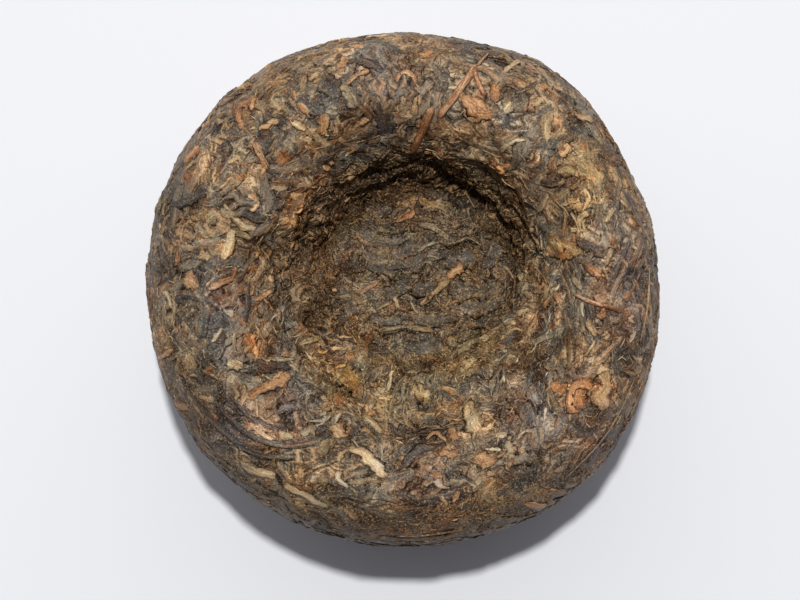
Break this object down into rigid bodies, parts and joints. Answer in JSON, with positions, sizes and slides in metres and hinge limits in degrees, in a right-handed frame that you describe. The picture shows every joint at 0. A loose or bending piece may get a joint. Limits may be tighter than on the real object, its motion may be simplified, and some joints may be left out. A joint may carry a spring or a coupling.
{
  "type": "pu erh tuocha",
  "caption": "Nest-shaped cake of pressed dark tea leaves with a domed back, a rounded ring and a deep hollow in the top.",
  "frame": {"origin": "middle of the cake's outline in plan, on the table that its flat foot rests on", "axes": "+Z up out of the hollow, +X to the right and +Y up in the picture, which looks straight down"},
  "size_m": [0.0818, 0.0822, 0.0436],
  "materials": {
    "pressed_tea": "matte",
    "dark_leaf": "satin",
    "brown_leaf": "satin",
    "golden_tip": "satin",
    "tea_stem": "satin"
  },
  "bodies": {
    "root": {"pressed_tea_cake": "pressed_tea"}
  },
  "joints": []
}
